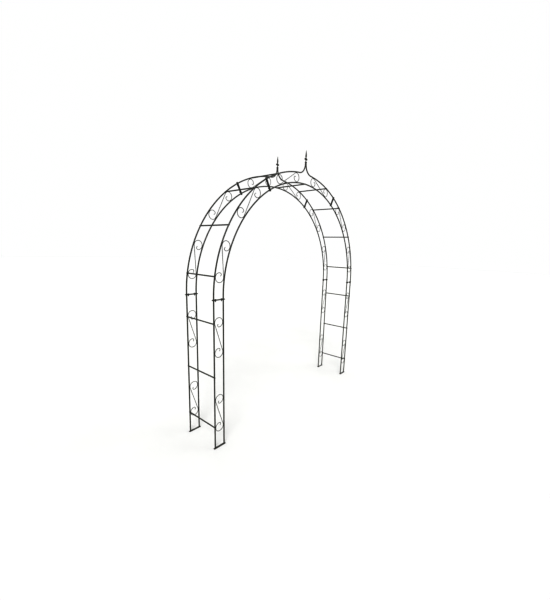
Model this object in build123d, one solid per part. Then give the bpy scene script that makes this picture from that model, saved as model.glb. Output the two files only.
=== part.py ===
"""Metal trellis arch: two welded steel arch frames, each bolted up from five
sections, joined across the walkway's depth by crossbars and topped by finials.

Frame: X across the walkway, Y along it (front frame at -Y), Z up.  The origin
is on the ground, midway between the four feet.  All sizes in millimetres.

Everything is drawn once, for the left side of the front frame in the plane
y = 0, and place() puts the copies on both sides and in both frames.
"""

from build123d import *
import math
import os

# ---- driving dimensions -------------------------------------------------
ARCH_WIDTH = 2000.0          # between the centre lines of the outer uprights
FRAME_SPACING = 326.0        # between the planes of the front and rear frame
BAND_WIDTH = 84.0            # centre line of outer rod to centre line of inner rod
LEG_JOINT_HEIGHT = 1142.0    # parting plane between leg and curved section
SPRING_RISE = 12.0           # straight stub of the curved section above that plane
APEX_JOINT_ANGLE = 60.3      # parting plane of the apex section, above horizontal

ROD_D = 9.5                  # outer and inner frame rods
CROSSBAR_D = ROD_D - 0.5     # bars between the two frames, never thicker than a rod
WIRE_D = 4.0                 # scroll wire

BAR_THICKNESS = 3.0          # splice bars and foot bars are the same flat bar
BAR_DEPTH = 15.0             # along Y
BAR_OVERHANG = 11.0          # past the centre line of each rod
BAR_CORNER_R = 2.0

LEG_CROSSBAR_STEP = 399.5    # from the middle crossbar of a leg to the next one
LEG_SCROLL_STEP = 294.0      # from the middle of a leg to the middle of a scroll
CURVE_CROSSBAR_STEP = 21.5   # degrees, from the middle of the curved section
CURVE_SCROLL_STEP = 14.9     # degrees, from the middle of the curved section
APEX_CROSSBAR_STEP = 9.1     # degrees, up from the apex joint
APEX_SCROLL_STEP = 15.5      # degrees, up from the apex joint

SCROLL_REACH = 112.0         # middle of a scroll to the centre of each curl
CURL_CLOSING = 2.25          # how much tighter the third quarter of a curl is
HOOK_R = 12.0                # the turned-in end of a curl
HOOK_SWEEP = 150.0           # degrees

OGEE_R = 85.0                # reverse bend of the outer rods below the finial
OGEE_STRAIGHT = 12.5         # the two rods side by side above that bend

SPLICE_BOLT_D = 6.0
SPLICE_BOLT_LENGTH = 16.0
SPLICE_BOLT_INSET = 15.0     # bolt axis to the centre line of the nearest rod
SPLICE_HEX = 10.0            # across the flats
SPLICE_HEAD_HEIGHT = 4.0
SPLICE_NUT_HEIGHT = 5.0
SPLICE_HOLE_CLEARANCE = 0.6  # on the diameter

SCREW_D = 5.0                # screws through the rods into the crossbar ends
SCREW_GRIP = 14.0            # thread inside the crossbar
SCREW_HEX = 8.0
SCREW_HEAD_HEIGHT = 3.5
SCREW_HOLE_CLEARANCE = 0.4   # on the diameter
SCREW_BORE_EXTRA = 3.0       # crossbar bore past the screw's end
SPOT_FACE_DEPTH = 1.0        # flat under the screw head, on the rod's outer face

THREAD_GAP = 0.1             # on the diameter, between a thread and its screw

PEG_HOLE_D = 7.0             # ground-peg holes in each foot bar
PEG_HOLE_SPACING = 44.0

FINIAL_SEAT_HEIGHT = 3.0     # disc that caps the two outer rods
FINIAL_NECK_R = 4.0
FINIAL_COLLAR_R = 7.0        # bead that the petals grow out of
FINIAL_COLLAR_HEIGHT = 26.5  # centre of the bead above the seat's underside
PETAL_D = 7.5                # two curled petals, one each side of the collar
PETAL_R = 5.0                # centre line of the curl
PETAL_OFFSET = 10.5          # finial axis to the centre of the curl
PETAL_START = 200.0          # degrees, inside the collar
PETAL_END = -50.0            # degrees, the free tip
FINIAL_SPEAR_R = 7.0
FINIAL_SPEAR_HEIGHT = 51.5   # widest point of the spear
FINIAL_HEIGHT = 99.0         # whole finial
FINIAL_TIP_R = 0.8

# ---- what follows from them ---------------------------------------------
OUTER_R = ARCH_WIDTH / 2
INNER_R = OUTER_R - BAND_WIDTH
MID_R = OUTER_R - BAND_WIDTH / 2
ROD_R = ROD_D / 2
SPRING_HEIGHT = LEG_JOINT_HEIGHT + SPRING_RISE
LEG_MIDDLE = (BAR_THICKNESS + LEG_JOINT_HEIGHT) / 2
CURVE_MIDDLE = APEX_JOINT_ANGLE / 2
CURL_R = (BAND_WIDTH - ROD_D - WIRE_D) / 2
CURL_INNER_R = CURL_R - CURL_CLOSING
SPOT_FACE_R = max(ROD_R, SCREW_HEX / math.sqrt(3))
SPLICE_BOLT_X = BAND_WIDTH / 2 - SPLICE_BOLT_INSET
OGEE_CENTRE_X = -(ROD_R + OGEE_R)
OGEE_CENTRE_Z = SPRING_HEIGHT + math.sqrt((OUTER_R + OGEE_R) ** 2 - OGEE_CENTRE_X ** 2)
FINIAL_BASE = OGEE_CENTRE_Z + OGEE_STRAIGHT

SIDES = ("left", "right")
FRAMES = ("front", "rear")


def polar(centre_x, centre_z, radius, angle):
    """Point in the plane y = 0 at an angle in degrees from +X towards +Z."""
    turn = math.radians(angle)
    return Vector(centre_x + radius * math.cos(turn), 0, centre_z + radius * math.sin(turn))


def arch_point(radius, angle):
    """Point of the left half of the arch, the angle counted up from horizontal."""
    return polar(0, SPRING_HEIGHT, radius, 180 - angle)


def arc(centre_x, centre_z, radius, start, end):
    """Arc in the plane y = 0 between two angles in degrees."""
    ends = [polar(centre_x, centre_z, radius, a) for a in (start, (start + end) / 2, end)]
    return ThreePointArc(*ends)


def round_bar(edges, diameter):
    """Round bar bent along a chain of tangent lines and arcs."""
    path = Wire(edges)
    section = Plane(origin=path @ 0, z_dir=path % 0) * Circle(diameter / 2)
    return sweep(section, path=path)


def cross_cylinder(point, radius, y_start, y_end):
    """Cylinder along Y through a point of the plane y = 0."""
    middle = Pos(point.X, (y_start + y_end) / 2, point.Z)
    return middle * Rot(90, 0, 0) * Cylinder(radius, abs(y_end - y_start))


def hexagon(across_flats, height):
    """Hexagonal prism standing on z = 0."""
    return extrude(RegularPolygon(across_flats / 2, 6, major_radius=False), height)


# ---- places along the band ----------------------------------------------
def leg_place(height):
    """Plane at mid band on a leg: its X points outwards and its Z up the leg."""
    return Plane(origin=(-MID_R, 0, height), x_dir=(-1, 0, 0), z_dir=(0, 0, 1))


def curve_place(angle, radius):
    """The same on the curved band: X points outwards and Z along the arch."""
    turn = math.radians(angle)
    outwards = (-math.cos(turn), 0, math.sin(turn))
    along = (math.sin(turn), 0, math.cos(turn))
    return Plane(origin=arch_point(radius, angle), x_dir=outwards, z_dir=along)


LEG_JOINT = leg_place(LEG_JOINT_HEIGHT)
APEX_JOINT = curve_place(APEX_JOINT_ANGLE, MID_R)


def place(shape, side, frame):
    """Copy of a left, front, y = 0 shape on the given side and in the given frame."""
    if side == "right":
        shape = mirror(shape, about=Plane.YZ)
    if frame == "rear":
        shape = mirror(shape, about=Plane.XZ)
    offset = FRAME_SPACING / 2 if frame == "rear" else -FRAME_SPACING / 2
    return Pos(0, offset, 0) * shape


# ---- crossbar positions ---------------------------------------------------
leg_crossbar_points = [Vector(-OUTER_R, 0, LEG_MIDDLE + step)
                       for step in (-LEG_CROSSBAR_STEP, 0, LEG_CROSSBAR_STEP)]
curve_crossbar_points = [arch_point(OUTER_R, CURVE_MIDDLE + step)
                         for step in (-CURVE_CROSSBAR_STEP, 0, CURVE_CROSSBAR_STEP)]
shoulder_crossbar_point = arch_point(OUTER_R, APEX_JOINT_ANGLE + APEX_CROSSBAR_STEP)
top_crossbar_point = arch_point(INNER_R, 90)


def drilled(rod, points):
    """Rod with a cross hole and an outer spot face for one screw at each point."""
    for point in points:
        hole_r = (SCREW_D + SCREW_HOLE_CLEARANCE) / 2
        rod -= cross_cylinder(point, hole_r, -ROD_D, ROD_D)
        rod -= cross_cylinder(point, SPOT_FACE_R, SPOT_FACE_DEPTH - ROD_R, -ROD_D)
    return rod


# ---- rods -----------------------------------------------------------------
def leg_rod(radius):
    """Straight upright between the foot bar and the leg's splice bar."""
    bottom = Vector(-radius, 0, BAR_THICKNESS)
    top = Vector(-radius, 0, LEG_JOINT_HEIGHT - BAR_THICKNESS)
    return round_bar([Line(bottom, top)], ROD_D)


def joint_block():
    """Room of the two splice bars of the apex joint, which the rods stop against."""
    margin = 4 * ROD_D
    return APEX_JOINT * Box(BAND_WIDTH + margin, margin, 2 * BAR_THICKNESS)


def curve_rod(radius):
    """Rod of the curved section: a short straight stub, then the arc."""
    stub = Line((-radius, 0, LEG_JOINT_HEIGHT + BAR_THICKNESS), (-radius, 0, SPRING_HEIGHT))
    bend = arc(0, SPRING_HEIGHT, radius, 180, 180 - APEX_JOINT_ANGLE)
    return round_bar([stub, bend], ROD_D) - joint_block()


def apex_outer_rod():
    """Outer rod from the apex joint, swept up by the ogee to stand beside its twin."""
    rise = OGEE_CENTRE_Z - SPRING_HEIGHT
    turn = math.degrees(math.atan2(rise, OGEE_CENTRE_X))
    shoulder = arc(0, SPRING_HEIGHT, OUTER_R, 180 - APEX_JOINT_ANGLE, turn)
    ogee = arc(OGEE_CENTRE_X, OGEE_CENTRE_Z, OGEE_R, turn - 180, 0)
    top = Line((-ROD_R, 0, OGEE_CENTRE_Z), (-ROD_R, 0, FINIAL_BASE))
    return round_bar([shoulder, ogee, top], ROD_D) - joint_block()


def apex_inner_rod():
    """Inner rod of the apex section, one arc from joint to joint."""
    bend = arc(0, SPRING_HEIGHT, INNER_R, 180 - APEX_JOINT_ANGLE, APEX_JOINT_ANGLE)
    rod = round_bar([bend], ROD_D)
    return rod - joint_block() - mirror(joint_block(), about=Plane.YZ)


# ---- flat bars ------------------------------------------------------------
def flat_bar(hole_d, hole_x):
    """Flat bar across the band, standing on z = 0, with two holes."""
    outline = RectangleRounded(BAND_WIDTH + 2 * BAR_OVERHANG, BAR_DEPTH, BAR_CORNER_R)
    holes = [Pos(x, 0) * Circle(hole_d / 2) for x in (-hole_x, hole_x)]
    return extrude(outline - holes, BAR_THICKNESS)


splice_bar = flat_bar(SPLICE_BOLT_D + SPLICE_HOLE_CLEARANCE, SPLICE_BOLT_X)
splice_bar_below = Pos(0, 0, -BAR_THICKNESS) * splice_bar
foot_bar = flat_bar(PEG_HOLE_D, PEG_HOLE_SPACING / 2)


# ---- scrolls --------------------------------------------------------------
def half_scroll():
    """Half the diagonal and one curl: it touches the outer rod, then the inner one."""
    lean = math.asin(CURL_R / SCROLL_REACH)
    leave = polar(0, SCROLL_REACH, CURL_R, -math.degrees(lean))
    inner_x = CURL_INNER_R - CURL_R
    hook_z = SCROLL_REACH - CURL_INNER_R + HOOK_R
    return [Line((0, 0, 0), leave),
            arc(0, SCROLL_REACH, CURL_R, -math.degrees(lean), 180),
            arc(inner_x, SCROLL_REACH, CURL_INNER_R, 180, 270),
            arc(inner_x, hook_z, HOOK_R, 270, 270 + HOOK_SWEEP)]


def scroll():
    """S-shaped wire in the plane y = 0, centred on the origin, long way up Z."""
    half = round_bar(half_scroll(), WIRE_D)
    return half + Rot(0, 180, 0) * half


s_scroll = scroll()
curl_circle_r = math.sqrt(MID_R ** 2 - SCROLL_REACH ** 2)
leg_scrolls = [leg_place(LEG_MIDDLE + step) * s_scroll
               for step in (-LEG_SCROLL_STEP, LEG_SCROLL_STEP)]
curve_scrolls = [curve_place(CURVE_MIDDLE + step, curl_circle_r) * s_scroll
                 for step in (-CURVE_SCROLL_STEP, CURVE_SCROLL_STEP)]
apex_scroll = curve_place(APEX_JOINT_ANGLE + APEX_SCROLL_STEP, curl_circle_r) * s_scroll


# ---- finial ---------------------------------------------------------------
def finial():
    """Cast finial: a disc on the rod tops, a neck, a collar with two petals, a spear."""
    bead_dz = math.sqrt(FINIAL_COLLAR_R ** 2 - FINIAL_NECK_R ** 2)
    bead_low = (FINIAL_NECK_R, FINIAL_COLLAR_HEIGHT - bead_dz)
    bead_high = (FINIAL_NECK_R, FINIAL_COLLAR_HEIGHT + bead_dz)
    neck_z = (bead_high[1] + FINIAL_SPEAR_HEIGHT) / 2
    widest = (FINIAL_SPEAR_R, FINIAL_SPEAR_HEIGHT)
    tip = (FINIAL_TIP_R, FINIAL_HEIGHT)
    tip_slope = (FINIAL_TIP_R - FINIAL_SPEAR_R, FINIAL_HEIGHT - FINIAL_SPEAR_HEIGHT)
    profile = [Line((0, 0), (ROD_D, 0)),
               Line((ROD_D, 0), (ROD_D, FINIAL_SEAT_HEIGHT)),
               Line((ROD_D, FINIAL_SEAT_HEIGHT), (FINIAL_NECK_R, FINIAL_SEAT_HEIGHT)),
               Line((FINIAL_NECK_R, FINIAL_SEAT_HEIGHT), bead_low),
               ThreePointArc(bead_low, (FINIAL_COLLAR_R, FINIAL_COLLAR_HEIGHT), bead_high),
               Line(bead_high, (FINIAL_NECK_R, neck_z)),
               Spline((FINIAL_NECK_R, neck_z), widest, tip,
                      tangents=[(0, 1), (0, 1), tip_slope]),
               Line(tip, (0, FINIAL_HEIGHT)),
               Line((0, FINIAL_HEIGHT), (0, 0))]
    stem = revolve(Plane.XZ * make_face(Wire(profile)), Axis.Z)
    curl = arc(PETAL_OFFSET, FINIAL_COLLAR_HEIGHT, PETAL_R, PETAL_START, PETAL_END)
    petal = round_bar([curl], PETAL_D)
    petal += Pos(curl @ 1) * Sphere(PETAL_D / 2)
    return Pos(0, 0, FINIAL_BASE) * (stem + petal + mirror(petal, about=Plane.YZ))


# ---- crossbars and fasteners ----------------------------------------------
def crossbar(point, rod):
    """Bar along Y whose two ends are coped to the rod and bored for a screw.

    The point and the rod are those of the left front frame, in the plane y = 0.
    """
    half = FRAME_SPACING / 2
    bar = cross_cylinder(point, CROSSBAR_D / 2, -half, half)
    for frame in FRAMES:
        bar -= place(rod, "left", frame)
    bore_r = (SCREW_D + THREAD_GAP) / 2
    depth = ROD_R + SCREW_GRIP + SCREW_BORE_EXTRA
    for end in (-half, half):
        inner = end + math.copysign(depth, -end)
        bar -= cross_cylinder(point, bore_r, end, inner)
    return bar


def crossbar_screw(point):
    """Hex screw: its head on the spot face, its shank through rod and crossbar end."""
    seat = SPOT_FACE_DEPTH - ROD_R
    head = Pos(point.X, seat, point.Z) * Rot(90, 0, 0) * hexagon(SCREW_HEX, SCREW_HEAD_HEIGHT)
    return head + cross_cylinder(point, SCREW_D / 2, seat, ROD_R + SCREW_GRIP)


def splice_bolts_at(joint):
    """The two bolts of a joint, heads above its parting plane."""
    head = Pos(0, 0, BAR_THICKNESS) * hexagon(SPLICE_HEX, SPLICE_HEAD_HEIGHT)
    shank_middle = BAR_THICKNESS - SPLICE_BOLT_LENGTH / 2
    bolt = head + Pos(0, 0, shank_middle) * Cylinder(SPLICE_BOLT_D / 2, SPLICE_BOLT_LENGTH)
    return [joint * (Pos(x, 0, 0) * bolt) for x in (-SPLICE_BOLT_X, SPLICE_BOLT_X)]


def splice_nuts_at(joint):
    """The two nuts of a joint, under its lower bar."""
    bore = Cylinder((SPLICE_BOLT_D + THREAD_GAP) / 2, 4 * SPLICE_NUT_HEIGHT)
    nut = Pos(0, 0, -BAR_THICKNESS - SPLICE_NUT_HEIGHT) * hexagon(SPLICE_HEX, SPLICE_NUT_HEIGHT)
    nut -= Pos(0, 0, -BAR_THICKNESS) * bore
    return [joint * (Pos(x, 0, 0) * nut) for x in (-SPLICE_BOLT_X, SPLICE_BOLT_X)]


# ---- the nodes --------------------------------------------------------------
nodes = {}

leg_outer_blank = leg_rod(OUTER_R)
curve_outer_blank = curve_rod(OUTER_R)
apex_outer_blank = apex_outer_rod()
apex_inner_blank = apex_inner_rod()

leg_outer = drilled(leg_outer_blank, leg_crossbar_points)
curve_outer = drilled(curve_outer_blank, curve_crossbar_points)
apex_outer = drilled(apex_outer_blank, [shoulder_crossbar_point])
apex_inner = drilled(apex_inner_blank, [top_crossbar_point])
leg_inner = leg_rod(INNER_R)
curve_inner = curve_rod(INNER_R)
top_finial = finial()

for frame in FRAMES:
    for side in SIDES:
        leg = {"outer_rod": [leg_outer],
               "inner_rod": [leg_inner],
               "foot_bar": [leg_place(0) * foot_bar],
               "splice_bar": [LEG_JOINT * splice_bar_below],
               "scrolls": leg_scrolls}
        curve = {"outer_rod": [curve_outer],
                 "inner_rod": [curve_inner],
                 "lower_splice_bar": [LEG_JOINT * splice_bar],
                 "upper_splice_bar": [APEX_JOINT * splice_bar_below],
                 "scrolls": curve_scrolls}
        for section, pieces in (("leg", leg), ("curve", curve)):
            for piece, shapes in pieces.items():
                name = f"{frame}_{side}_{section}_{piece}"
                nodes[name] = [place(shape, side, frame) for shape in shapes]
        nodes[f"{frame}_apex_{side}_outer_rod"] = [place(apex_outer, side, frame)]
    nodes[f"{frame}_apex_inner_rod"] = [place(apex_inner, "left", frame)]
    nodes[f"{frame}_apex_splice_bars"] = [place(APEX_JOINT * splice_bar, side, frame)
                                          for side in SIDES]
    nodes[f"{frame}_apex_scrolls"] = [place(apex_scroll, side, frame) for side in SIDES]
    nodes[f"{frame}_finial"] = [place(top_finial, "left", frame)]

leg_crossbars = [crossbar(point, leg_outer_blank) for point in leg_crossbar_points]
curve_crossbars = [crossbar(point, curve_outer_blank) for point in curve_crossbar_points]
shoulder_crossbar = crossbar(shoulder_crossbar_point, apex_outer_blank)
top_crossbar = crossbar(top_crossbar_point, apex_inner_blank)

for section, bars in (("leg", leg_crossbars), ("curve", curve_crossbars)):
    nodes[f"left_{section}_crossbars"] = bars
    nodes[f"right_{section}_crossbars"] = [mirror(bar, about=Plane.YZ) for bar in bars]
nodes["apex_crossbars"] = [shoulder_crossbar, mirror(shoulder_crossbar, about=Plane.YZ),
                           top_crossbar]

side_screw_points = leg_crossbar_points + curve_crossbar_points + [shoulder_crossbar_point]
screws = [place(crossbar_screw(point), side, frame)
          for frame in FRAMES for side in SIDES for point in side_screw_points]
screws += [place(crossbar_screw(top_crossbar_point), "left", frame) for frame in FRAMES]
nodes["crossbar_screws"] = screws

for name, maker in (("splice_bolts", splice_bolts_at), ("splice_nuts", splice_nuts_at)):
    nodes[name] = [place(shape, side, frame)
                   for frame in FRAMES for side in SIDES
                   for joint in (LEG_JOINT, APEX_JOINT) for shape in maker(joint)]

# ---- write --------------------------------------------------------------------
os.makedirs("parts", exist_ok=True)
for name, shapes in nodes.items():
    solids = [solid for shape in shapes for solid in shape.solids()]
    export_step(solids[0] if len(solids) == 1 else Compound(children=solids),
                f"parts/{name}.step")
print(len(nodes), "nodes")
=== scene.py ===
"""Looks of a metal garden arch: two black powder-coated frames of round rod with
wire scrolls, flat splice bars, welds, crossbars, hex fasteners and cast finials.

Sizes are in millimetres and turned to metres where a mesh is written.  Pieces
are drawn for the left side of the front frame, in its own plane, as (x, z)
points, and stand() puts them in either frame and on either side.
"""

import math

import bpy
import numpy as np
from mathutils import Matrix, Vector


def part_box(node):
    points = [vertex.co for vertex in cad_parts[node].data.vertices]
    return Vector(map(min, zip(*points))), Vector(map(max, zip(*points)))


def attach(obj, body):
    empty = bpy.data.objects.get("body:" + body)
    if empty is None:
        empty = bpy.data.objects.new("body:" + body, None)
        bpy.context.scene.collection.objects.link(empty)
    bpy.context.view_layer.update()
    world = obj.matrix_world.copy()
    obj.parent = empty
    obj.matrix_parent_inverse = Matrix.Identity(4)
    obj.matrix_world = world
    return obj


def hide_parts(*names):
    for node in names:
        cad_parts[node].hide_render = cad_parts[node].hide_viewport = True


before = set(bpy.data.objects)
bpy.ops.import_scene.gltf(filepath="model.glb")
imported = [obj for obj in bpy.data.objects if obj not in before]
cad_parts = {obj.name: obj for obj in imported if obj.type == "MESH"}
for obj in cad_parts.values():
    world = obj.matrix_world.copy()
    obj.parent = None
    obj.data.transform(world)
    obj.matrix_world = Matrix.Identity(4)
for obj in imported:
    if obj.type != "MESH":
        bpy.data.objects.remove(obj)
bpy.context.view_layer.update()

# ---- Frame rods ------------------------------------------------------------
# Round mild-steel bar just under 10 mm thick: straight in the legs, rolled to an
# arc in the curved and apex sections.  Each rod is sawn square and welded to its
# flat bars, and has a flat spot face on its outside wherever a crossbar is screwed.

MM = 0.001


def box_mm(node):
    """Lowest and highest corner of a CAD node, in millimetres."""
    low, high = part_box(node)
    return np.array(low) / MM, np.array(high) / MM


rod_low, rod_high = box_mm("front_left_leg_outer_rod")
rod_r = (rod_high[0] - rod_low[0]) / 2
outer_r = -(rod_low[0] + rod_high[0]) / 2
frame_y = -(rod_low[1] + rod_high[1]) / 2
inner_r = -sum(corner[0] for corner in box_mm("front_left_leg_inner_rod")) / 2
mid_r = (outer_r + inner_r) / 2
bar_thickness = rod_low[2]
joint_z = box_mm("front_left_leg_splice_bar")[1][2]
finial_base = box_mm("front_finial")[0][2]

SPRING_RISE = 12.0           # straight stub of a curved section, below its arc
spring_z = joint_z + SPRING_RISE
APEX_JOINT = math.radians(60.3)
OGEE_R = 85.0
SPOT_FACE = 1.0              # depth of the flat under a screw head
SAWN_EDGE = 0.5
LEG_SCREW_STEP = 399.5
CURVE_SCREW_STEP, SHOULDER_STEP = math.radians(21.5), math.radians(9.1)

leg_middle = (bar_thickness + joint_z) / 2
leg_screws = [leg_middle + step * LEG_SCREW_STEP for step in (-1, 0, 1)]
curve_screws = [APEX_JOINT / 2 + step * CURVE_SCREW_STEP for step in (-1, 0, 1)]
shoulder_screw = APEX_JOINT + SHOULDER_STEP

ROD_SPACING, OGEE_SPACING = 12.0, 3.5    # between the rings of a rod
EDGE_RINGS = 6
MARK_GAP = 0.02              # half the gap between a mark's close pair of rings
SHARP_ANGLE = math.radians(38)

SIDES = {"left": 1, "right": -1}
FRAMES = {"front": 1, "rear": -1}


def arch_point(radius, angle):
    """Point of the left half of an arc, the angle counted up from horizontal."""
    return np.array([-radius * math.cos(angle), spring_z + radius * math.sin(angle)])


def along(place, heading, curvature, distance):
    """Point and heading some distance along a line or an arc.

    The heading b is a + k t.  The point is P + (sin b - sin a, cos a - cos b) / k,
    or P + t (cos a, sin a) where the curvature k is nought.
    """
    turned = heading + curvature * distance
    if curvature:
        step = np.stack([np.sin(turned) - math.sin(heading),
                         math.cos(heading) - np.cos(turned)], 1) / curvature
    else:
        step = distance[:, None] * [math.cos(heading), math.sin(heading)]
    return place + step, turned


def chain(start, heading, pieces, at):
    """Points and headings at some distances along a chain of (length, curvature)."""
    points, headings = np.empty((len(at), 2)), np.empty(len(at))
    gone = 0.0
    for length, curvature in pieces:
        here = at >= gone
        points[here], headings[here] = along(start, heading, curvature, at[here] - gone)
        ends = along(start, heading, curvature, np.array([length]))
        start, heading, gone = ends[0][0], ends[1][0], gone + length
    return points, headings


def stations(length, radius, edge, spacing, marks=(), reach=0.0):
    """Distances along a bar, and its radius at each.

    The ends are rounded: r = R - e + sqrt(e^2 - (e - d)^2) at a distance d under e
    from the end.  Each mark gets close pairs of stations, a reach to either side.
    """
    quarter = edge * (1 - np.cos(np.linspace(0, math.pi / 2, EDGE_RINGS)))
    middle = np.linspace(edge, length - edge, max(2, round(length / spacing)))
    pairs = [mark + side * (reach + gap) for mark in marks
             for side in (-1, 1) for gap in (-MARK_GAP, MARK_GAP)]
    at = np.unique(np.concatenate([quarter, middle, length - quarter, pairs]))
    depth = np.clip(edge - np.minimum(at, length - at), 0, edge)
    return at, radius - edge + np.sqrt(edge ** 2 - depth ** 2)


def tube(points, headings, radii, sides=20, flat=None):
    """Rings of a round bar: C + r (cos t N + sin t Y), N being square to the path.

    Where flat is given, the reach towards -Y is cut off at it, ring by ring.
    """
    turn = np.linspace(0, 2 * math.pi, sides, endpoint=False) + math.pi / sides
    across, deep = np.outer(radii, np.cos(turn)), np.outer(radii, np.sin(turn))
    if flat is not None:
        deep = np.maximum(deep, -flat[:, None])
    x = points[:, :1] - np.sin(headings)[:, None] * across
    z = points[:, 1:] + np.cos(headings)[:, None] * across
    return np.stack([x, deep, z], 2)


def stand(rings, side, which):
    """Rings drawn at the left front, put on a side of a frame: a mirror, then a shift."""
    mirrored = rings * [SIDES[side], FRAMES[which], 1]
    return mirrored - [0, FRAMES[which] * frame_y, 0]


def outward(points, quads, triangles):
    """The same faces, turned round if the volume they enclose comes out negative."""
    corners = np.concatenate([quads[:, [0, 1, 2]], quads[:, [0, 2, 3]], triangles])
    a, b, c = (points[corners[:, i]] for i in range(3))
    if np.einsum("ij,ij", a, np.cross(b, c)) < 0:
        return points, quads[:, ::-1], triangles[:, ::-1]
    return points, quads, triangles


def skin(rings, endless=False):
    """Points and faces over rings of equal size, each ring joined to the next.

    The last ring joins the first if endless; otherwise each end is closed by a fan
    to its mean point.
    """
    count, sides = rings.shape[:2]
    index = np.arange(count * sides).reshape(count, sides)
    near, far = (index, np.roll(index, -1, 0)) if endless else (index[:-1], index[1:])
    quads = np.stack([near, np.roll(near, -1, 1), np.roll(far, -1, 1), far], 2)
    points, fans = rings.reshape(-1, 3), np.empty((0, 3), int)
    if not endless:
        points = np.concatenate([points, [rings[0].mean(0)], [rings[-1].mean(0)]])
        poles = np.full((2, sides), [[count * sides], [count * sides + 1]])
        fans = np.concatenate([
            np.stack([poles[0], np.roll(index[0], -1), index[0]], 1),
            np.stack([poles[1], index[-1], np.roll(index[-1], -1)], 1)])
    return outward(points, quads.reshape(-1, 4), fans)


def make(name, skins, material, slot, *nodes):
    """One object from several skins: it rides on the arch and stands for its nodes."""
    points, faces, base = [], [], 0
    for skin_points, quads, fans in skins:
        points.append(skin_points * MM)
        faces += (quads + base).tolist() + (fans + base).tolist()
        base += len(skin_points)
    mesh = bpy.data.meshes.new(name)
    mesh.from_pydata(np.concatenate(points).tolist(), [], faces)
    mesh.shade_smooth()
    mesh.set_sharp_from_angle(angle=SHARP_ANGLE)
    mesh.materials.append(material)
    piece = bpy.data.objects.new(name, mesh)
    bpy.context.scene.collection.objects.link(piece)
    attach(piece, "root")
    if nodes:
        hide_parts(*nodes)


def linear(hex_colour):
    """sRGB hex such as "1c1d1b" to the linear RGBA that shaders take."""
    parts = [int(hex_colour[i:i + 2], 16) / 255 for i in (0, 2, 4)]
    return [c / 12.92 if c <= 0.04045 else ((c + 0.055) / 1.055) ** 2.4
            for c in parts] + [1.0]


def add(tree, kind, inputs=None, **settings):
    """Adds a shader node, its settings, and its inputs: values, or sockets to link."""
    made = tree.nodes.new(kind)
    for key, value in settings.items():
        setattr(made, key, value)
    for key, value in (inputs or {}).items():
        if isinstance(value, bpy.types.NodeSocket):
            tree.links.new(value, made.inputs[key])
        else:
            made.inputs[key].default_value = value
    return made


def new_material(name):
    """An empty material with its node tree, its surface shader and its coordinates."""
    material = bpy.data.materials.new(name)
    material.use_nodes = True
    tree = material.node_tree
    tree.nodes.clear()
    shader = add(tree, "ShaderNodeBsdfPrincipled")
    add(tree, "ShaderNodeOutputMaterial", {"Surface": shader.outputs["BSDF"]})
    place = add(tree, "ShaderNodeTexCoord").outputs["Object"]
    return material, tree, shader, place


def noise(tree, place, size, detail=2.0, roughness=0.5):
    """Noise whose lumps are about a size in millimetres across."""
    return add(tree, "ShaderNodeTexNoise",
               {"Vector": place, "Scale": 1 / (size * MM), "Detail": detail,
                "Roughness": roughness}).outputs["Fac"]


def spread(tree, value, low, high, out_low=0.0, out_high=1.0):
    """A value from low to high drawn out to another range, and clamped to it."""
    return add(tree, "ShaderNodeMapRange",
               {"Value": value, "From Min": low, "From Max": high,
                "To Min": out_low, "To Max": out_high}).outputs["Result"]


def blend(tree, factor, first, second):
    """Colour mix of two colours or sockets."""
    mix = add(tree, "ShaderNodeMix", data_type="RGBA")
    for socket, value in zip((mix.inputs[0], mix.inputs[6], mix.inputs[7]),
                             (factor, first, second)):
        if isinstance(value, bpy.types.NodeSocket):
            tree.links.new(value, socket)
        else:
            socket.default_value = value
    return mix.outputs[2]


def powder_coat(name, black, faded, peel, relief, gloss):
    """Polyester powder baked on steel: a satin film with a fine orange peel.

    The black thins and greys a little in soft patches, a trace of dust lies on
    what faces up, and here and there a chip shows the grey primer.
    """
    dust, primer = linear("6a675e"), linear("5c5d5b")
    material, tree, shader, place = new_material(name)
    patches = spread(tree, noise(tree, place, 90, 3.0), 0.35, 0.7)
    coat = blend(tree, patches, linear(black), linear(faded))
    upward = add(tree, "ShaderNodeSeparateXYZ",
                 {"Vector": add(tree, "ShaderNodeNewGeometry").outputs["Normal"]})
    lying = spread(tree, upward.outputs["Z"], 0.45, 1.0, 0.0, 0.16)
    settled = add(tree, "ShaderNodeMath",
                  {0: lying, 1: noise(tree, place, 14, 4.0)}, operation="MULTIPLY")
    dusty = blend(tree, settled.outputs[0], coat, dust)
    chips = spread(tree, noise(tree, place, 5, 3.0, 0.65), 0.80, 0.82)
    tree.links.new(blend(tree, chips, dusty, primer), shader.inputs["Base Color"])
    tree.links.new(spread(tree, noise(tree, place, 30, 3.0), 0.3, 0.7,
                          gloss, gloss + 0.12), shader.inputs["Roughness"])
    bump = add(tree, "ShaderNodeBump",
               {"Height": noise(tree, place, peel, 2.0), "Distance": relief * MM,
                "Strength": 0.6})
    tree.links.new(bump.outputs["Normal"], shader.inputs["Normal"])
    shader.inputs["IOR"].default_value = 1.5
    return material


# Black with a soft sheen down each rod, broken up by the fine orange peel.
rod_coat = powder_coat("satin black powder coat on steel bar", "2f312d", "3b3d37",
                       peel=1.6, relief=0.05, gloss=0.32)


def rod(start, heading, pieces, screws=(), spacing=ROD_SPACING):
    """Rings of a frame rod, with a spot face round each screw's distance along it."""
    length = sum(piece[0] for piece in pieces)
    at, radii = stations(length, rod_r, SAWN_EDGE, spacing, screws, rod_r)
    points, headings = chain(start, heading, pieces, at)
    flat = np.full(len(at), rod_r)
    for screw in screws:
        flat[np.abs(at - screw) < rod_r] = rod_r - SPOT_FACE
    return tube(points, headings, radii, flat=flat)


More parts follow.
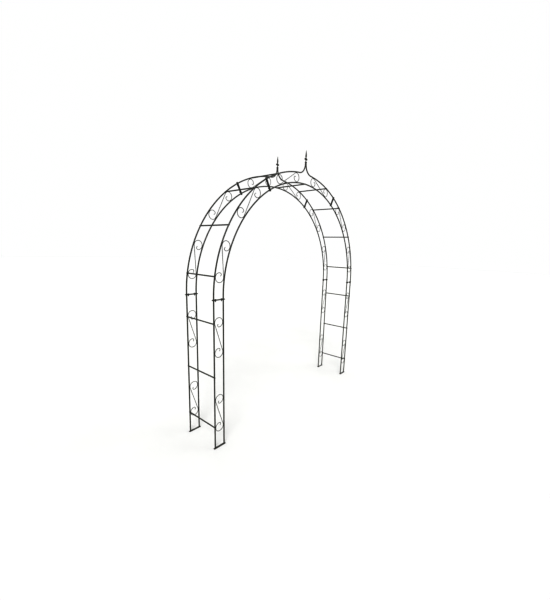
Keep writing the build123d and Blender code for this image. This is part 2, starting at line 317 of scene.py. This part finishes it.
def leg_rod(radius, screws):
    """Straight upright from the foot bar to the underside of the splice bar."""
    length = joint_z - 2 * bar_thickness
    return rod((-radius, bar_thickness), math.pi / 2, [(length, 0)],
               [height - bar_thickness for height in screws])


def curve_rod(radius, screws):
    """Stub above the splice bar, then the arc up to the apex joint's lower bar."""
    stub = SPRING_RISE - bar_thickness
    bend = radius * APEX_JOINT - bar_thickness
    return rod((-radius, joint_z + bar_thickness), math.pi / 2,
               [(stub, 0), (bend, -1 / radius)],
               [stub + radius * angle for angle in screws])


def apex_outer_rod():
    """Arc from the apex joint, the ogee's reverse bend, then a stub at the finial."""
    ogee_x = rod_r + OGEE_R
    ogee_angle = math.acos(ogee_x / (outer_r + OGEE_R))
    start_angle = APEX_JOINT + bar_thickness / outer_r
    start = arch_point(outer_r, start_angle)
    ogee_z = spring_z + (outer_r + OGEE_R) * math.sin(ogee_angle)
    return rod(start, math.pi / 2 - start_angle,
               [(outer_r * (ogee_angle - start_angle), -1 / outer_r),
                (OGEE_R * ogee_angle, 1 / OGEE_R), (finial_base - ogee_z, 0)],
               [outer_r * (shoulder_screw - start_angle)], spacing=OGEE_SPACING)


def apex_inner_rod():
    """Arc over the crown, from one apex joint to the other."""
    start_angle = APEX_JOINT + bar_thickness / inner_r
    start = arch_point(inner_r, start_angle)
    length = inner_r * (math.pi - 2 * start_angle)
    return rod(start, math.pi / 2 - start_angle, [(length, -1 / inner_r)], [length / 2])


section_rods = {"leg_outer_rod": leg_rod(outer_r, leg_screws),
                "leg_inner_rod": leg_rod(inner_r, []),
                "curve_outer_rod": curve_rod(outer_r, curve_screws),
                "curve_inner_rod": curve_rod(inner_r, [])}
for which in FRAMES:
    for side in SIDES:
        for section, rings in section_rods.items():
            node = f"{which}_{side}_{section}"
            make(f"coated_{node}", [skin(stand(rings, side, which))], rod_coat,
                 "frame_powder_coat", node)
        node = f"{which}_apex_{side}_outer_rod"
        make(f"coated_{node}", [skin(stand(apex_outer_rod(), side, which))], rod_coat,
             "frame_powder_coat", node)
    node = f"{which}_apex_inner_rod"
    make(f"coated_{node}", [skin(stand(apex_inner_rod(), "left", which))], rod_coat,
         "frame_powder_coat", node)

# ---- Foot bars and splice bars -----------------------------------------------
# Flat mild-steel bar, sawn to length with its corners ground round, welded across
# the two rods of a section.  Splice bars meet face to face and are bolted through
# two holes; foot bars stand on the ground and have two holes for ground pegs.

BAR_CORNER = 2.0
BAR_EDGE = 0.4
SPLICE_HOLE_R, SPLICE_HOLE_X = 3.3, 27.0
PEG_HOLE_R, PEG_HOLE_X = 3.5, 22.0
TINY = 1e-6                  # under any real distance here, so it stands for nought

bar_low, bar_high = box_mm("front_left_leg_foot_bar")
bar_reach = (bar_high[0] - bar_low[0]) / 2
bar_half_depth = (bar_high[1] - bar_low[1]) / 2


def seat(local, place, angle=0.0):
    """Points given as (outwards, deep, along the band) put at a place on the arch."""
    out, deep, up_band = np.moveaxis(np.asarray(local, float), -1, 0)
    x = place[0] - out * math.cos(angle) + up_band * math.sin(angle)
    z = place[1] + out * math.sin(angle) + up_band * math.cos(angle)
    return np.stack([x, deep, z], -1)


def flat_bar(hole_r, hole_x):
    """Flat bar with two holes, standing on nought, as points and quads.

    Each half of the bar is a ring of sections round its own hole, running from the
    hole's edge to the point of the outline that lies in the same direction.  The
    halves share their middle line, and the walls between them are left out.
    """
    long_x = np.linspace(0, bar_reach - BAR_CORNER, 12)
    turn = np.linspace(0, math.pi / 2, 6)
    corner_x = bar_reach - BAR_CORNER * (1 - np.sin(turn))
    corner_y = bar_half_depth - BAR_CORNER * (1 - np.cos(turn))
    side_y = np.full(len(long_x) - 1, bar_half_depth)
    end_y = np.linspace(bar_half_depth - BAR_CORNER, BAR_CORNER - bar_half_depth, 7)[1:-1]
    middle_y = np.linspace(-bar_half_depth, bar_half_depth, 9)[1:-1]
    x = np.concatenate([long_x[:-1], corner_x, np.full(len(end_y), bar_reach),
                        corner_x[::-1], long_x[-2::-1], np.zeros(len(middle_y))])
    y = np.concatenate([side_y, corner_y, end_y, -corner_y[::-1], -side_y, middle_y])
    outline = np.stack([x, y], 1)
    aim = np.arctan2(y, x - hole_x)
    hole = np.stack([hole_x + hole_r * np.cos(aim), hole_r * np.sin(aim)], 1)
    inset = outline - BAR_EDGE * np.sign(outline) * (
        np.abs(outline) > [bar_reach - BAR_CORNER, bar_half_depth - BAR_CORNER])
    loop = [(hole, bar_thickness), (inset, bar_thickness),
            (outline, bar_thickness - BAR_EDGE), (outline, BAR_EDGE), (inset, 0), (hole, 0)]
    rings = np.stack([np.column_stack([flat, np.full(len(x), height)])
                      for flat, height in loop], 1)
    index = np.arange(rings.shape[0] * len(loop)).reshape(-1, len(loop))
    ahead = np.roll(index, -1, 0)
    quads = np.stack([index, np.roll(index, -1, 1), np.roll(ahead, -1, 1), ahead], 2)
    on_middle = (x < TINY) & (np.roll(x, -1) < TINY)
    wall = np.isin(np.arange(len(loop)), (1, 2, 3))
    quads = quads[~(on_middle[:, None] & wall[None, :])]
    points = rings.reshape(-1, 3)
    both = np.concatenate([points, points * [-1, 1, 1]])
    quads = np.concatenate([quads, quads[:, ::-1] + len(points)])
    joined, renamed = np.unique(np.round(both, 5), axis=0, return_inverse=True)
    return joined, renamed.ravel()[quads]


splice_points, splice_quads = flat_bar(SPLICE_HOLE_R, SPLICE_HOLE_X)
foot_points, foot_quads = flat_bar(PEG_HOLE_R, PEG_HOLE_X)
leg_joint = np.array([-mid_r, joint_z])
apex_joint = arch_point(mid_r, APEX_JOINT)
below = splice_points - [0, 0, bar_thickness]
bar_kinds = {"leg_foot_bar": (seat(foot_points, (-mid_r, 0)), foot_quads),
             "leg_splice_bar": (seat(below, leg_joint), splice_quads),
             "curve_lower_splice_bar": (seat(splice_points, leg_joint), splice_quads),
             "curve_upper_splice_bar": (seat(below, apex_joint, APEX_JOINT), splice_quads)}
no_triangles = np.empty((0, 3), int)
for which in FRAMES:
    for side in SIDES:
        for section, (points, quads) in bar_kinds.items():
            node = f"{which}_{side}_{section}"
            make(f"coated_{node}", [outward(stand(points, side, which), quads,
                                            no_triangles)],
                 rod_coat, "frame_powder_coat", node)
    apex_bars = [outward(stand(seat(splice_points, apex_joint, APEX_JOINT), side, which),
                         splice_quads, no_triangles) for side in SIDES]
    node = f"{which}_apex_splice_bars"
    make(f"coated_{node}", apex_bars, rod_coat, "frame_powder_coat", node)

# ---- Scrolls -----------------------------------------------------------------
# S-shaped scrolls of 4 mm wire, wound round a former and coated with the frame.
# Each bridges the band with a curl at both ends, and is tacked where a curl meets
# the outer and the inner rod.

WIRE_R = 2.0
SCROLL_REACH = 112.0
CURL_INNER_R = 33.0
HOOK_R, HOOK_SWEEP = 12.0, math.radians(150)
LEG_SCROLL_STEP = 294.0
CURVE_SCROLL_STEP, APEX_SCROLL_STEP = math.radians(14.9), math.radians(15.5)
WIRE_SPACING, WIRE_SIDES = 2.6, 12
curl_r = (outer_r - inner_r) / 2 - rod_r - WIRE_R
curl_lean = math.asin(curl_r / SCROLL_REACH)
half_scroll = [(math.sqrt(SCROLL_REACH ** 2 - curl_r ** 2), 0),
               (curl_r * (math.pi + curl_lean), 1 / curl_r),
               (CURL_INNER_R * math.pi / 2, 1 / CURL_INNER_R),
               (HOOK_R * HOOK_SWEEP, 1 / HOOK_R)]


def scroll():
    """Wire of a scroll about its middle: the second half is the first turned half round."""
    half = sum(piece[0] for piece in half_scroll)
    at, radii = stations(2 * half, WIRE_R, WIRE_R, WIRE_SPACING)
    far = at - half
    points, headings = chain((0, 0), math.pi / 2 - curl_lean, half_scroll, np.abs(far))
    return tube(points * np.sign(far + TINY)[:, None], headings, radii, sides=WIRE_SIDES)


# The same black on thin wire, a touch duller, so that each curl reads as a dark line.
scroll_coat = powder_coat("satin black powder coat on wire", "2f312d", "3c3e37",
                          peel=1.2, relief=0.04, gloss=0.34)
scroll_rings = scroll()
curl_circle = math.sqrt(mid_r ** 2 - SCROLL_REACH ** 2)
scroll_angles = {"curve": [APEX_JOINT / 2 + step * CURVE_SCROLL_STEP for step in (-1, 1)],
                 "apex": [APEX_JOINT + APEX_SCROLL_STEP]}
scroll_heights = [leg_middle + step * LEG_SCROLL_STEP for step in (-1, 1)]
leg_scrolls = [seat(scroll_rings, (-mid_r, height)) for height in scroll_heights]
curve_scrolls, apex_scrolls = (
    [seat(scroll_rings, arch_point(curl_circle, angle), angle) for angle in angles]
    for angles in scroll_angles.values())
for which in FRAMES:
    for side in SIDES:
        for section, wires in (("leg", leg_scrolls), ("curve", curve_scrolls)):
            node = f"{which}_{side}_{section}_scrolls"
            make(f"wire_{node}", [skin(stand(wire, side, which)) for wire in wires],
                 scroll_coat, "scroll_powder_coat", node)
    node = f"{which}_apex_scrolls"
    make(f"wire_{node}", [skin(stand(wire, side, which))
                          for side in SIDES for wire in apex_scrolls],
         scroll_coat, "scroll_powder_coat", node)

# ---- Welds ---------------------------------------------------------------------
# Weld metal under the coat: a fillet all round each rod where it stands on a flat
# bar, a tack at each touch of scroll and rod, and a seam between the twin rods
# below each finial.

FILLET_LEG, FILLET_COLUMNS = 2.3, 102
RIPPLES, RIPPLE = 17, 0.04   # round a fillet, and their share of its leg
SWELLS, SWELL = 3, 0.08
TACK = (1.7, 2.7, 5.5)       # half sizes across the band, in depth and along it
SEAM_R, SEAM_LENGTH, SEAM_END = 1.5, 24.0, 0.5
SEAM_SET = 2.5               # of the seam's axis, out of the frame's own plane
BEAD_SIDES = 12


def fillet(radius, angle, face, upwards, seed):
    """Weld bead round a rod, in ripples, lying on a flat bar's face.

    The leg is L (1 + ripple sin (n t + sin 2 t) + swell sin (m t + s)) round the rod,
    and the section is the triangle of the two legs with its long side bulging.
    """
    turn = np.linspace(0, 2 * math.pi, FILLET_COLUMNS, endpoint=False)
    leg = FILLET_LEG * (1 + RIPPLE * np.sin(RIPPLES * turn + np.sin(2 * turn))
                        + SWELL * np.sin(SWELLS * turn + seed))
    across = np.array([-0.15, 1.0, 0.96, 0.80, 0.58, 0.34, 0.12, -0.15])
    rise = np.array([-0.05, -0.05, 0.10, 0.34, 0.58, 0.80, 0.96, 1.0])
    reach = rod_r + np.outer(leg, across)
    lift = face + upwards * np.outer(leg, rise)
    local = np.stack([reach * np.cos(turn)[:, None] + radius - mid_r,
                      reach * np.sin(turn)[:, None], lift], 2)
    place = leg_joint if angle is None else arch_point(mid_r, angle)
    return seat(local, place, angle or 0.0)


def tack(place, angle):
    """Ellipsoid of weld metal, its girth swelling and shrinking in five ripples."""
    polar = np.linspace(0.12, math.pi - 0.12, 13)
    turn = np.linspace(0, 2 * math.pi, BEAD_SIDES, endpoint=False)
    girth = np.sin(polar) * (1 + 0.07 * np.sin(10 * polar))
    local = np.stack([TACK[0] * np.outer(girth, np.cos(turn)),
                      TACK[1] * np.outer(girth, np.sin(turn)),
                      TACK[2] * np.outer(np.cos(polar), np.ones(BEAD_SIDES))], 2)
    return seat(local, place, angle)


def ogee_seam():
    """Upright bead on one face of the twin rods, its start tapered over 2.5 mm.

    Its girth is r (1 + 0.1 sin 3.2 z), so a ripple every two millimetres or so.
    """
    heights = np.linspace(finial_base - SEAM_LENGTH, finial_base - SEAM_END, 60)
    swell = 1 + 0.10 * np.sin(heights * 3.2)
    swell *= np.sqrt(np.clip((heights - heights[0]) / 2.5, 0.01, 1))
    turn = np.linspace(0, 2 * math.pi, BEAD_SIDES, endpoint=False)
    return np.stack([SEAM_R * np.outer(swell, np.cos(turn)),
                     SEAM_R * np.outer(swell, np.sin(turn)) - SEAM_SET,
                     np.outer(heights, np.ones(BEAD_SIDES))], 2)


# Rougher and duller than the rods, so that a bead's ripples break up the light.
weld_coat = powder_coat("powder coat over weld metal", "2d2f2b", "393b35",
                        peel=0.9, relief=0.12, gloss=0.42)
lower, upper = bar_thickness - joint_z, -bar_thickness
fillets = [fillet(radius, angle, face, upwards, seed)
           for seed, radius in enumerate((outer_r, inner_r))
           for angle, face, upwards in ((None, lower, 1), (None, upper, -1),
                                        (None, bar_thickness, 1),
                                        (APEX_JOINT, upper, -1),
                                        (APEX_JOINT, bar_thickness, 1))]
tacks = [tack((-radius, height + reach), 0.0)
         for radius in (outer_r - rod_r, inner_r + rod_r)
         for height in scroll_heights for reach in (-SCROLL_REACH, SCROLL_REACH)]
swing = math.asin(SCROLL_REACH / mid_r)
tacks += [tack(arch_point(radius, angle + reach), angle + reach)
          for radius in (outer_r - rod_r, inner_r + rod_r)
          for angles in scroll_angles.values() for angle in angles
          for reach in (-swing, swing)]
for which in FRAMES:
    for side in SIDES:
        make(f"fillet_welds_{which}_{side}",
             [skin(stand(bead, side, which), endless=True) for bead in fillets],
             weld_coat, "frame_powder_coat")
        make(f"scroll_tacks_{which}_{side}",
             [skin(stand(bead, side, which)) for bead in tacks],
             weld_coat, "frame_powder_coat")
    seams = [skin(stand(ogee_seam() * [1, face, 1], "left", which)) for face in (1, -1)]
    make(f"ogee_seams_{which}", seams, weld_coat, "frame_powder_coat")

# ---- Finials -------------------------------------------------------------------
# One iron casting tops each frame: a seat on the two rod ends, a neck, a collar
# with a curled petal to either side, and a spear with four soft ridges.  It is
# welded on and coated, and the sand of the mould still shows through the coat.

FINIAL_SEAT, SEAT_R, SEAT_EDGE = 3.0, 9.45, 0.9
NECK_R = 4.0
COLLAR_R, COLLAR_Z = 7.0, 26.5
SPEAR_R, SPEAR_FOOT, SPEAR_Z = 7.0, 41.5, 51.5
TIP_R, TIP_END_R, FINIAL_TOP = 0.8, 0.24, 99.0
PETAL_R, PETAL_X = 5.0, 10.5
PETAL_START, PETAL_SWEEP = math.radians(200), math.radians(250)
PETAL_ROOT_R, PETAL_TAPER, BUD_R = 3.6, 0.7, 3.5
RIDGES, RIDGE_DEPTH = 4, 0.16
STEM_SIDES = 48


def finial_radius(z):
    """Girth of the stem: the seat, then the greater of neck and collar, then the spear.

    The spear swells as a half cosine up to its widest point, then narrows to the tip
    along a curve a little fuller than a cone.
    """
    edge = np.minimum(z, FINIAL_SEAT - z)
    seat_r = SEAT_R - SEAT_EDGE + np.sqrt(
        np.clip(SEAT_EDGE ** 2 - np.clip(SEAT_EDGE - edge, 0, SEAT_EDGE) ** 2, 0, None))
    neck = np.where(z < COLLAR_Z, NECK_R + 1.6 * np.exp(-(z - FINIAL_SEAT) / 1.2), NECK_R)
    collar = np.sqrt(np.clip(COLLAR_R ** 2 - (z - COLLAR_Z) ** 2, 0, None))
    rise = np.clip((z - SPEAR_FOOT) / (SPEAR_Z - SPEAR_FOOT), 0, 1)
    swell = NECK_R + (SPEAR_R - NECK_R) * (0.5 - 0.5 * np.cos(math.pi * rise))
    fall = np.clip((z - SPEAR_Z) / (FINIAL_TOP - SPEAR_Z), 0, 1)
    cone = TIP_R + (SPEAR_R - TIP_R) * (1 - fall ** 1.35)
    above = np.where(z < SPEAR_Z, swell, cone)
    stem = np.where(z > SPEAR_FOOT, above, np.maximum(neck, collar))
    return np.where(z <= FINIAL_SEAT, seat_r, stem)


def finial_stem():
    """Lathe of the girth, hollowed between four ridges over the spear's length."""
    quarter = SEAT_EDGE * (1 - np.cos(np.linspace(0, math.pi / 2, EDGE_RINGS)))
    heights = np.concatenate([
        quarter, FINIAL_SEAT - quarter[::-1], [FINIAL_SEAT + 0.01],
        np.linspace(FINIAL_SEAT + 0.4, COLLAR_Z - COLLAR_R, 14),
        np.linspace(COLLAR_Z - COLLAR_R + 0.4, COLLAR_Z + COLLAR_R - 0.4, 34),
        np.linspace(COLLAR_Z + COLLAR_R, FINIAL_TOP - 0.6, 76),
        [FINIAL_TOP - 0.2, FINIAL_TOP]])
    radii = finial_radius(heights)
    radii[-1] = TIP_END_R
    turn = np.linspace(0, 2 * math.pi, STEM_SIDES, endpoint=False)
    up_spear = np.clip((heights - SPEAR_FOOT) / (FINIAL_TOP - SPEAR_FOOT), 0, 1)
    hollow = RIDGE_DEPTH * np.sin(math.pi * up_spear) ** 0.6
    girth = radii[:, None] * (1 - np.outer(hollow, 0.5 - 0.5 * np.cos(RIDGES * turn)))
    return np.stack([girth * np.cos(turn), girth * np.sin(turn),
                     np.outer(heights, np.ones(STEM_SIDES))], 2)


def petal():
    """Curled petal: it thins along its curl and ends in a round bud."""
    length = PETAL_R * PETAL_SWEEP
    bud = length - 0.3
    at = np.concatenate([np.linspace(0, bud - BUD_R - 0.4, 30),
                         bud - BUD_R * np.cos(np.linspace(0.3, math.pi - 0.05, 16))])
    thin = PETAL_ROOT_R - PETAL_TAPER * at / length
    ball = np.sqrt(np.clip(BUD_R ** 2 - (at - bud) ** 2, 0.01, None))
    radii = np.where(at < bud, np.maximum(thin, ball), ball)
    start = (PETAL_X + PETAL_R * math.cos(PETAL_START),
             COLLAR_Z + PETAL_R * math.sin(PETAL_START))
    points, headings = chain(start, PETAL_START - math.pi / 2,
                             [(length + BUD_R, -1 / PETAL_R)], at)
    return tube(points, headings, radii, sides=16)


# The dullest black, with a sandy grain, so that the finial looks cast, not rolled.
cast_coat = powder_coat("powder coat over cast iron", "2d2f2a", "3a3c35",
                        peel=0.8, relief=0.16, gloss=0.46)
for which in FRAMES:
    castings = [finial_stem() + [0, 0, finial_base], petal() + [0, 0, finial_base],
                petal() * [-1, 1, 1] + [0, 0, finial_base]]
    node = f"{which}_finial"
    make(f"cast_{node}", [skin(stand(rings, "left", which)) for rings in castings],
         cast_coat, "frame_powder_coat", node)

# ---- Crossbars -----------------------------------------------------------------
# Round bar between the two frames, its ends coped to fit against the rods and
# tapped for a screw.  Three join each pair of legs, three each pair of curved
# sections, and three more sit over the apex.

CROSSBAR_R, CROSSBAR_SIDES, CROSSBAR_RINGS = 4.5, 24, 31


def crossbar(place, angle):
    """Bar along the depth, each end hollowed to sqrt(R^2 - u^2) from the rod's axis."""
    turn = np.linspace(0, 2 * math.pi, CROSSBAR_SIDES, endpoint=False)
    out, up_band = CROSSBAR_R * np.cos(turn), CROSSBAR_R * np.sin(turn)
    reach = frame_y - np.sqrt(rod_r ** 2 - out ** 2)
    deep = np.outer(np.linspace(-1, 1, CROSSBAR_RINGS), reach)
    return seat(np.stack([np.broadcast_to(out, deep.shape), deep,
                          np.broadcast_to(up_band, deep.shape)], 2), place, angle)


leg_places = [((-outer_r, height), 0.0) for height in leg_screws]
curve_places = [(arch_point(outer_r, angle), angle) for angle in curve_screws]
shoulder_place = (arch_point(outer_r, shoulder_screw), shoulder_screw)
top_place = (arch_point(inner_r, math.pi / 2), math.pi / 2)
for side in SIDES:
    for section, places in (("leg", leg_places), ("curve", curve_places)):
        node = f"{side}_{section}_crossbars"
        make(f"coated_{node}", [skin(crossbar(*spot) * [SIDES[side], 1, 1])
                                for spot in places], rod_coat, "frame_powder_coat", node)
apex_bars = [crossbar(*shoulder_place), crossbar(*shoulder_place) * [-1, 1, 1],
             crossbar(*top_place)]
make("coated_apex_crossbars", [skin(rings) for rings in apex_bars], rod_coat,
     "frame_powder_coat", "apex_crossbars")

# ---- Crossbar screws -----------------------------------------------------------
# Hex-head steel screws, blackened zinc, driven through the rods from outside into
# the crossbar ends.  Each head sits on the rod's spot face.

SCREW_HEX, SCREW_HEAD = 8.0, 3.5
SCREW_R, SCREW_LENGTH = 2.5, 14.0
WASHER_FACE = 0.3
HEX_COLUMNS = 36
CROWN_SHARE, WASHER_SHARE = 0.96, 0.95   # of the width over the flats


def black_zinc(name, dark, worn):
    """Steel blackened over zinc: a dull metal sheen, patchy, rubbed paler in spots."""
    material, tree, shader, place = new_material(name)
    rubbed = spread(tree, noise(tree, place, 3.5, 4.0), 0.52, 0.75)
    tree.links.new(blend(tree, rubbed, linear(dark), linear(worn)),
                   shader.inputs["Base Color"])
    tree.links.new(spread(tree, noise(tree, place, 1.5, 3.0), 0.3, 0.7, 0.32, 0.5),
                   shader.inputs["Roughness"])
    bump = add(tree, "ShaderNodeBump", {"Height": noise(tree, place, 0.6, 3.0),
                                        "Distance": 0.03 * MM, "Strength": 0.5})
    tree.links.new(bump.outputs["Normal"], shader.inputs["Normal"])
    shader.inputs["Metallic"].default_value = 1.0
    return material


# A dull metal glint on each bolt and screw, paler than the coat round it.
fastener = black_zinc("black zinc steel", "67696a", "8b8b87")


def hex_profile(flats, height, both_ends=False):
    """Radii of a head or a nut, ring by ring, with the height of each ring.

    The radius is (f / 2) / cos(t) within each sixth, t from a flat's middle, and no
    more than a 30 degree cone leaves at that height.
    """
    turn = np.linspace(0, 2 * math.pi, HEX_COLUMNS, endpoint=False)
    hexagon = flats / 2 / np.cos(turn % (math.pi / 3) - math.pi / 6)
    cut = (2 / math.sqrt(3) - CROWN_SHARE) * flats / 2 / math.sqrt(3)
    chamfer = cut * np.linspace(1, 0, 5)
    foot = cut - chamfer if both_ends else [0, WASHER_FACE, WASHER_FACE]
    levels = np.concatenate([foot, height - chamfer])
    depth = np.minimum(levels, height - levels) if both_ends else height - levels
    radii = np.minimum(hexagon, CROWN_SHARE * flats / 2 + depth[:, None] * math.sqrt(3))
    if not both_ends:
        radii[:2] = WASHER_SHARE * flats / 2
    return turn, levels, radii


def headed(flats, height, shank_r, shank, thread=0.0, pitch=1.0):
    """Rings of a bolt along its axis: shank end first, then the head, seat at nought.

    The last stretch of shank carries a thread, r - 0.6 p w(z / p - t / 2 pi), where
    w runs down and up between one and nought each turn.  It fades out at the shank's
    end, which is a little thinner.
    """
    turn, levels, radii = hex_profile(flats, height)
    low = np.linspace(-shank, thread - shank, max(2, round(thread / pitch * 8)))
    phase = (low[:, None] / pitch - turn / (2 * math.pi)) % 1
    groove = 0.6 * pitch * np.abs(2 * phase - 1)
    fade = np.clip((low + shank) / (0.8 * pitch), 0, 1)[:, None]
    shank_radii = shank_r - 0.25 * pitch * (1 - fade) - groove * fade * (thread > 0)
    ends = np.full((2, len(turn)), shank_r - 0.02)
    crown = np.outer([0.9, 0.6], radii[-1])
    girth = np.concatenate([shank_radii, ends, radii, crown])
    axis = np.concatenate([low, [thread - shank + 0.1, -0.01], levels,
                           [height - 0.03, height - 0.08]])
    return np.stack([girth * np.cos(turn), girth * np.sin(turn),
                     np.outer(axis, np.ones(len(turn)))], 2)


def screw_at(place, angle):
    """Screw turned so that its head faces the front, seated on the spot face."""
    rings = headed(SCREW_HEX, SCREW_HEAD, SCREW_R, SCREW_LENGTH + 2 * rod_r - SPOT_FACE)
    deep = SPOT_FACE - rod_r - rings[..., 2]
    return seat(np.stack([rings[..., 0], deep, rings[..., 1]], 2), place, angle)


screws = [skin(stand(screw_at(*spot), side, which))
          for spot in leg_places + curve_places + [shoulder_place]
          for side in SIDES for which in FRAMES]
screws += [skin(stand(screw_at(*top_place), "left", which)) for which in FRAMES]
make("hex_crossbar_screws", screws, fastener, "black_fastener_steel", "crossbar_screws")

# ---- Splice bolts and nuts -------------------------------------------------------
# M6 hex bolts through each pair of splice bars, heads on the apex side, with a nut
# below the joint and a few threads standing out of it.

BOLT_HEX, BOLT_HEAD, BOLT_R = 10.0, 4.0, 3.0
BOLT_LENGTH = 16.0
THREAD_OVERLAP = 0.4         # of the thread, above the nut
NUT_HEIGHT, NUT_BORE = 5.0, 3.05

joints = ((leg_joint, 0.0), (apex_joint, APEX_JOINT))
bolt_rings = headed(BOLT_HEX, BOLT_HEAD, BOLT_R, BOLT_LENGTH,
                    thread=BOLT_LENGTH - 2 * bar_thickness - NUT_HEIGHT + THREAD_OVERLAP)
bolt_rings = bolt_rings + [0, 0, bar_thickness]


def nut():
    """Nut as a ring of sections: six flats with both rims chamfered, and a round bore."""
    turn, levels, radii = hex_profile(BOLT_HEX, NUT_HEIGHT, both_ends=True)
    bore = np.full((2, len(turn)), NUT_BORE)
    girth = np.concatenate([bore[:1], radii, bore[:1]])
    heights = np.concatenate([[levels[0]], levels, [levels[-1]]])
    rings = np.stack([girth * np.cos(turn), girth * np.sin(turn),
                      np.outer(heights, np.ones(len(turn)))], 2)
    return rings.transpose(1, 0, 2) - [0, 0, bar_thickness + NUT_HEIGHT]


for name, rings, endless in (("splice_bolts", bolt_rings, False),
                             ("splice_nuts", nut(), True)):
    pieces = [skin(stand(seat(rings + [x, 0, 0], *joint), side, which), endless)
              for joint in joints for x in (-SPLICE_HOLE_X, SPLICE_HOLE_X)
              for side in SIDES for which in FRAMES]
    make(f"hex_{name}", pieces, fastener, "black_fastener_steel", name)

# ---- Floor and studio light ------------------------------------------------------
# The arch stands in a white studio: a pale painted floor without an edge in sight,
# an even white surround, and two broad soft lights that run a sheen down the rods.

FLOOR_HALF, FLOOR_GAP = 30.0, 0.0005     # in metres, the gap being under the feet
FLOOR_LINES = 13
VIEW_GAMMA = 0.52            # darkens all that is short of white, so thin bars stay black

grid = np.linspace(-FLOOR_HALF, FLOOR_HALF, FLOOR_LINES)
floor_x, floor_y = np.meshgrid(grid, grid)
floor_points = np.stack([floor_x, floor_y, np.full_like(floor_x, -FLOOR_GAP)], 2)
index = np.arange(FLOOR_LINES ** 2).reshape(FLOOR_LINES, FLOOR_LINES)
floor_quads = np.stack([index[:-1, :-1], index[:-1, 1:], index[1:, 1:], index[1:, :-1]], 2)
mesh = bpy.data.meshes.new("floor")
mesh.from_pydata(floor_points.reshape(-1, 3).tolist(), [],
                 floor_quads.reshape(-1, 4).tolist())
floor = bpy.data.objects.new("floor", mesh)
bpy.context.scene.collection.objects.link(floor)
# An even white with no edge in sight, which takes only a faint shadow at the feet.
paint, tree, shader, place = new_material("pale matt floor paint")
mottled = blend(tree, noise(tree, place, 400, 3.0), linear("cccccb"), linear("d0d0cf"))
tree.links.new(mottled, shader.inputs["Base Color"])
shader.inputs["Roughness"].default_value = 0.9
mesh.materials.append(paint)

world = bpy.data.worlds.new("studio")
bpy.context.scene.world = world
world.use_nodes = True
surround = world.node_tree.nodes["Background"]
surround.inputs["Color"].default_value = (1, 1, 1, 1)
surround.inputs["Strength"].default_value = 1.0
bpy.context.scene.view_settings.view_transform = "Standard"
bpy.context.scene.view_settings.gamma = VIEW_GAMMA


def soft_light(name, place, spread_degrees, strength):
    """Far, wide light from a direction, as even over the floor as a light tent's."""
    light = bpy.data.lights.new(name, "SUN")
    light.angle, light.energy = math.radians(spread_degrees), strength
    lamp = bpy.data.objects.new(name, light)
    lamp.matrix_world = Vector(place).to_track_quat("Z", "Y").to_matrix().to_4x4()
    bpy.context.scene.collection.objects.link(lamp)


soft_light("key", (-4.0, -3.0, 4.0), 24, 2.4)
soft_light("fill", (4.0, -4.0, 3.5), 30, 1.0)

# ---- Camera ------------------------------------------------------------------------
# A wide lens at head height, left of the front frame, looking down a little and
# leaning to one side.  EYE is in millimetres, the angles are in degrees, and the
# shifts are shares of the picture's longer side.

EYE = (-2266.1, -1823.2, 1509.3)
AZIMUTH, ELEVATION, ROLL = -50.739, 10.997, -1.932
SENSOR, LENS = 36.0, 18.02
SHIFT_X, SHIFT_Y = -0.01480, 0.01120

azimuth, elevation, roll = (math.radians(a) for a in (AZIMUTH, ELEVATION, ROLL))
forward = Vector((-math.sin(azimuth) * math.cos(elevation),
                  math.cos(azimuth) * math.cos(elevation), -math.sin(elevation)))
level = forward.cross(Vector((0, 0, 1))).normalized()
down = forward.cross(level)
right = math.cos(roll) * level + math.sin(roll) * down
upright = math.sin(roll) * level - math.cos(roll) * down
lens = bpy.data.cameras.new("camera")
lens.sensor_width, lens.lens = SENSOR, LENS
lens.shift_x, lens.shift_y = SHIFT_X, SHIFT_Y
camera = bpy.data.objects.new("camera", lens)
turned = Matrix((right, upright, -forward)).transposed().to_4x4()
turned.translation = Vector(EYE) * MM
camera.matrix_world = turned
bpy.context.scene.collection.objects.link(camera)
bpy.context.scene.camera = camera
